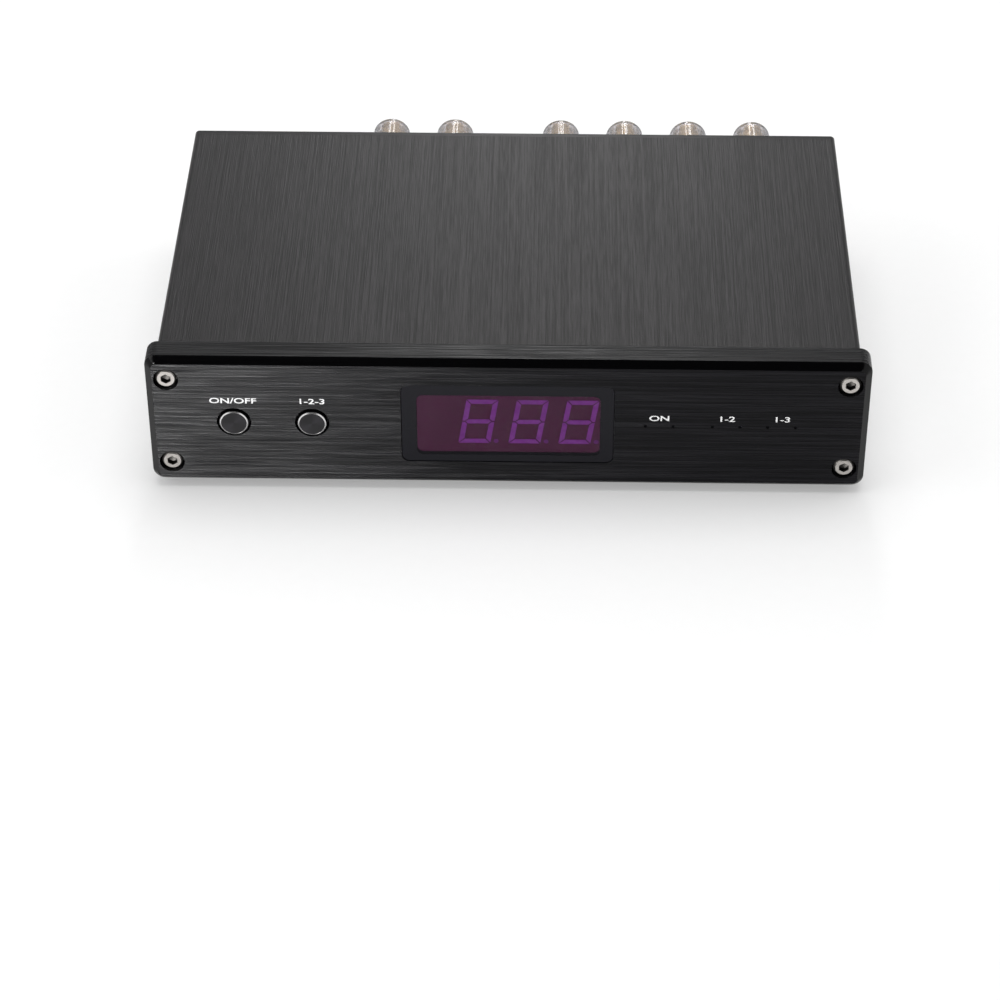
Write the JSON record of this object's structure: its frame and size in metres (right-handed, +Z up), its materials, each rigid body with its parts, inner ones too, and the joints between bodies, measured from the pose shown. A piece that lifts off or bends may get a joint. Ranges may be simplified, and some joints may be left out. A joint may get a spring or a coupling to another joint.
{
  "type": "speaker selector switch",
  "caption": "Flat desktop speaker selector: thick chamfered front panel with push buttons and a digit display behind a smoked window; screw-down binding posts and a supply inlet at the back.",
  "frame": {"origin": "on the surface under the feet, in the middle of the width and of the depth over the buttons and the closed knobs", "axes": "+X to the right seen from the front, +Y to the back, +Z up"},
  "size_m": [0.183, 0.1276, 0.0407],
  "materials": {
    "panel_anodised": "black anodised, brushed from side to side",
    "case_anodised": "dark grey anodised, brushed from front to back",
    "rear_anodised": "black anodised, fine brushed",
    "smoked_lens": "smoked acrylic with a dark border",
    "purple_film": "tinted film",
    "screw_steel": "nickel plated",
    "black_screw": "black oxide",
    "foot_rubber": "matt",
    "button_metal": "turned face, black anodised, bright cut rim",
    "switch_plastic": "moulded",
    "circuit_board": "solder mask over glass laminate",
    "spacer_brass": "nickelled",
    "display_plastic": "dark moulded face",
    "dark_resin": "dark tinted resin",
    "lamp_resin": "diffused resin, unlit",
    "relay_plastic": "moulded cover",
    "chip_resin": "moulded resin",
    "sink_aluminium": "black anodised",
    "capacitor_sleeve": "shrunk sleeve",
    "connector_plastic": "moulded",
    "inlet_plastic": "moulded",
    "pin_nickel": "nickel plated",
    "gold_brass": "gold plated",
    "insulator_plastic": "moulded",
    "red_plastic": "moulded",
    "black_plastic": "moulded",
    "tinned_metal": "tinned",
    "clear_cap": "clear polycarbonate"
  },
  "bodies": {
    "chassis": {"front_panel": "panel_anodised", "display_lens": "smoked_lens", "display_filter": "purple_film", "top_cover": "case_anodised", "bottom_cover": "case_anodised", "rear_panel": "rear_anodised", "front_screws": "screw_steel", "rear_screws": "black_screw", "feet": "foot_rubber", "tact_switches": "switch_plastic", "front_board": "circuit_board", "board_spacers": "spacer_brass", "digit_display": "display_plastic", "remote_receiver": "dark_resin", "status_lamps": "lamp_resin", "main_board": "circuit_board", "relays": "relay_plastic", "relay_driver": "chip_resin", "microcontroller": "chip_resin", "heat_sink": "sink_aluminium", "regulator": "chip_resin", "capacitors": "capacitor_sleeve", "board_connector": "connector_plastic", "supply_inlet": "inlet_plastic", "supply_pin": "pin_nickel", "post_studs": "gold_brass", "post_nuts": "gold_brass", "post_insulators": "insulator_plastic", "red_collars": "red_plastic", "black_collars": "black_plastic", "terminal_board": "circuit_board", "board_links": "tinned_metal"},
    "power_button": {"power_button": "button_metal", "power_plunger": "switch_plastic"},
    "select_button": {"select_button": "button_metal", "select_plunger": "switch_plastic"},
    "insert_a_left_plus": {"insert_a_left_plus": "gold_brass"},
    "cap_a_left_plus": {"cap_a_left_plus": "clear_cap"},
    "insert_a_left_minus": {"insert_a_left_minus": "gold_brass"},
    "cap_a_left_minus": {"cap_a_left_minus": "clear_cap"},
    "insert_a_right_plus": {"insert_a_right_plus": "gold_brass"},
    "cap_a_right_plus": {"cap_a_right_plus": "clear_cap"},
    "insert_a_right_minus": {"insert_a_right_minus": "gold_brass"},
    "cap_a_right_minus": {"cap_a_right_minus": "clear_cap"},
    "insert_b_left_plus": {"insert_b_left_plus": "gold_brass"},
    "cap_b_left_plus": {"cap_b_left_plus": "clear_cap"},
    "insert_b_left_minus": {"insert_b_left_minus": "gold_brass"},
    "cap_b_left_minus": {"cap_b_left_minus": "clear_cap"},
    "insert_b_right_plus": {"insert_b_right_plus": "gold_brass"},
    "cap_b_right_plus": {"cap_b_right_plus": "clear_cap"},
    "insert_b_right_minus": {"insert_b_right_minus": "gold_brass"},
    "cap_b_right_minus": {"cap_b_right_minus": "clear_cap"},
    "insert_c_left_plus": {"insert_c_left_plus": "gold_brass"},
    "cap_c_left_plus": {"cap_c_left_plus": "clear_cap"},
    "insert_c_left_minus": {"insert_c_left_minus": "gold_brass"},
    "cap_c_left_minus": {"cap_c_left_minus": "clear_cap"},
    "insert_c_right_plus": {"insert_c_right_plus": "gold_brass"},
    "cap_c_right_plus": {"cap_c_right_plus": "clear_cap"},
    "insert_c_right_minus": {"insert_c_right_minus": "gold_brass"},
    "cap_c_right_minus": {"cap_c_right_minus": "clear_cap"}
  },
  "joints": [
    {"name": "power_press", "type": "slide", "parent": "chassis", "child": "power_button", "axis": [0, 1, 0], "range_m": [0, 0.0005], "stiffness_N_per_m": 1500, "springref_m": -0.0005},
    {"name": "select_press", "type": "slide", "parent": "chassis", "child": "select_button", "axis": [0, 1, 0], "range_m": [0, 0.0005], "stiffness_N_per_m": 1500, "springref_m": -0.0005},
    {"name": "a_left_plus_lift", "type": "slide", "parent": "chassis", "child": "insert_a_left_plus", "axis": [0, 1, 0], "range_m": [0, 0.004]},
    {"name": "a_left_plus_turn", "type": "hinge", "parent": "insert_a_left_plus", "child": "cap_a_left_plus", "pos_m": [-0.035, 0.04863, 0.0287], "axis": [0, 1, 0], "range_deg": [0, 1440]},
    {"name": "a_left_minus_lift", "type": "slide", "parent": "chassis", "child": "insert_a_left_minus", "axis": [0, 1, 0], "range_m": [0, 0.004]},
    {"name": "a_left_minus_turn", "type": "hinge", "parent": "insert_a_left_minus", "child": "cap_a_left_minus", "pos_m": [-0.035, 0.04863, 0.0137], "axis": [0, 1, 0], "range_deg": [0, 1440]},
    {"name": "a_right_plus_lift", "type": "slide", "parent": "chassis", "child": "insert_a_right_plus", "axis": [0, 1, 0], "range_m": [0, 0.004]},
    {"name": "a_right_plus_turn", "type": "hinge", "parent": "insert_a_right_plus", "child": "cap_a_right_plus", "pos_m": [-0.017, 0.04863, 0.0287], "axis": [0, 1, 0], "range_deg": [0, 1440]},
    {"name": "a_right_minus_lift", "type": "slide", "parent": "chassis", "child": "insert_a_right_minus", "axis": [0, 1, 0], "range_m": [0, 0.004]},
    {"name": "a_right_minus_turn", "type": "hinge", "parent": "insert_a_right_minus", "child": "cap_a_right_minus", "pos_m": [-0.017, 0.04863, 0.0137], "axis": [0, 1, 0], "range_deg": [0, 1440]},
    {"name": "b_left_plus_lift", "type": "slide", "parent": "chassis", "child": "insert_b_left_plus", "axis": [0, 1, 0], "range_m": [0, 0.004]},
    {"name": "b_left_plus_turn", "type": "hinge", "parent": "insert_b_left_plus", "child": "cap_b_left_plus", "pos_m": [0.013, 0.04863, 0.0287], "axis": [0, 1, 0], "range_deg": [0, 1440]},
    {"name": "b_left_minus_lift", "type": "slide", "parent": "chassis", "child": "insert_b_left_minus", "axis": [0, 1, 0], "range_m": [0, 0.004]},
    {"name": "b_left_minus_turn", "type": "hinge", "parent": "insert_b_left_minus", "child": "cap_b_left_minus", "pos_m": [0.013, 0.04863, 0.0137], "axis": [0, 1, 0], "range_deg": [0, 1440]},
    {"name": "b_right_plus_lift", "type": "slide", "parent": "chassis", "child": "insert_b_right_plus", "axis": [0, 1, 0], "range_m": [0, 0.004]},
    {"name": "b_right_plus_turn", "type": "hinge", "parent": "insert_b_right_plus", "child": "cap_b_right_plus", "pos_m": [0.031, 0.04863, 0.0287], "axis": [0, 1, 0], "range_deg": [0, 1440]},
    {"name": "b_right_minus_lift", "type": "slide", "parent": "chassis", "child": "insert_b_right_minus", "axis": [0, 1, 0], "range_m": [0, 0.004]},
    {"name": "b_right_minus_turn", "type": "hinge", "parent": "insert_b_right_minus", "child": "cap_b_right_minus", "pos_m": [0.031, 0.04863, 0.0137], "axis": [0, 1, 0], "range_deg": [0, 1440]},
    {"name": "c_left_plus_lift", "type": "slide", "parent": "chassis", "child": "insert_c_left_plus", "axis": [0, 1, 0], "range_m": [0, 0.004]},
    {"name": "c_left_plus_turn", "type": "hinge", "parent": "insert_c_left_plus", "child": "cap_c_left_plus", "pos_m": [0.049, 0.04863, 0.0287], "axis": [0, 1, 0], "range_deg": [0, 1440]},
    {"name": "c_left_minus_lift", "type": "slide", "parent": "chassis", "child": "insert_c_left_minus", "axis": [0, 1, 0], "range_m": [0, 0.004]},
    {"name": "c_left_minus_turn", "type": "hinge", "parent": "insert_c_left_minus", "child": "cap_c_left_minus", "pos_m": [0.049, 0.04863, 0.0137], "axis": [0, 1, 0], "range_deg": [0, 1440]},
    {"name": "c_right_plus_lift", "type": "slide", "parent": "chassis", "child": "insert_c_right_plus", "axis": [0, 1, 0], "range_m": [0, 0.004]},
    {"name": "c_right_plus_turn", "type": "hinge", "parent": "insert_c_right_plus", "child": "cap_c_right_plus", "pos_m": [0.067, 0.04863, 0.0287], "axis": [0, 1, 0], "range_deg": [0, 1440]},
    {"name": "c_right_minus_lift", "type": "slide", "parent": "chassis", "child": "insert_c_right_minus", "axis": [0, 1, 0], "range_m": [0, 0.004]},
    {"name": "c_right_minus_turn", "type": "hinge", "parent": "insert_c_right_minus", "child": "cap_c_right_minus", "pos_m": [0.067, 0.04863, 0.0137], "axis": [0, 1, 0], "range_deg": [0, 1440]}
  ],
  "couplings": [
    {"joint": "a_left_plus_turn", "follows": "a_left_plus_lift", "rad_per_m": 6283.2},
    {"joint": "a_left_minus_turn", "follows": "a_left_minus_lift", "rad_per_m": 6283.2},
    {"joint": "a_right_plus_turn", "follows": "a_right_plus_lift", "rad_per_m": 6283.2},
    {"joint": "a_right_minus_turn", "follows": "a_right_minus_lift", "rad_per_m": 6283.2},
    {"joint": "b_left_plus_turn", "follows": "b_left_plus_lift", "rad_per_m": 6283.2},
    {"joint": "b_left_minus_turn", "follows": "b_left_minus_lift", "rad_per_m": 6283.2},
    {"joint": "b_right_plus_turn", "follows": "b_right_plus_lift", "rad_per_m": 6283.2},
    {"joint": "b_right_minus_turn", "follows": "b_right_minus_lift", "rad_per_m": 6283.2},
    {"joint": "c_left_plus_turn", "follows": "c_left_plus_lift", "rad_per_m": 6283.2},
    {"joint": "c_left_minus_turn", "follows": "c_left_minus_lift", "rad_per_m": 6283.2},
    {"joint": "c_right_plus_turn", "follows": "c_right_plus_lift", "rad_per_m": 6283.2},
    {"joint": "c_right_minus_turn", "follows": "c_right_minus_lift", "rad_per_m": 6283.2}
  ]
}
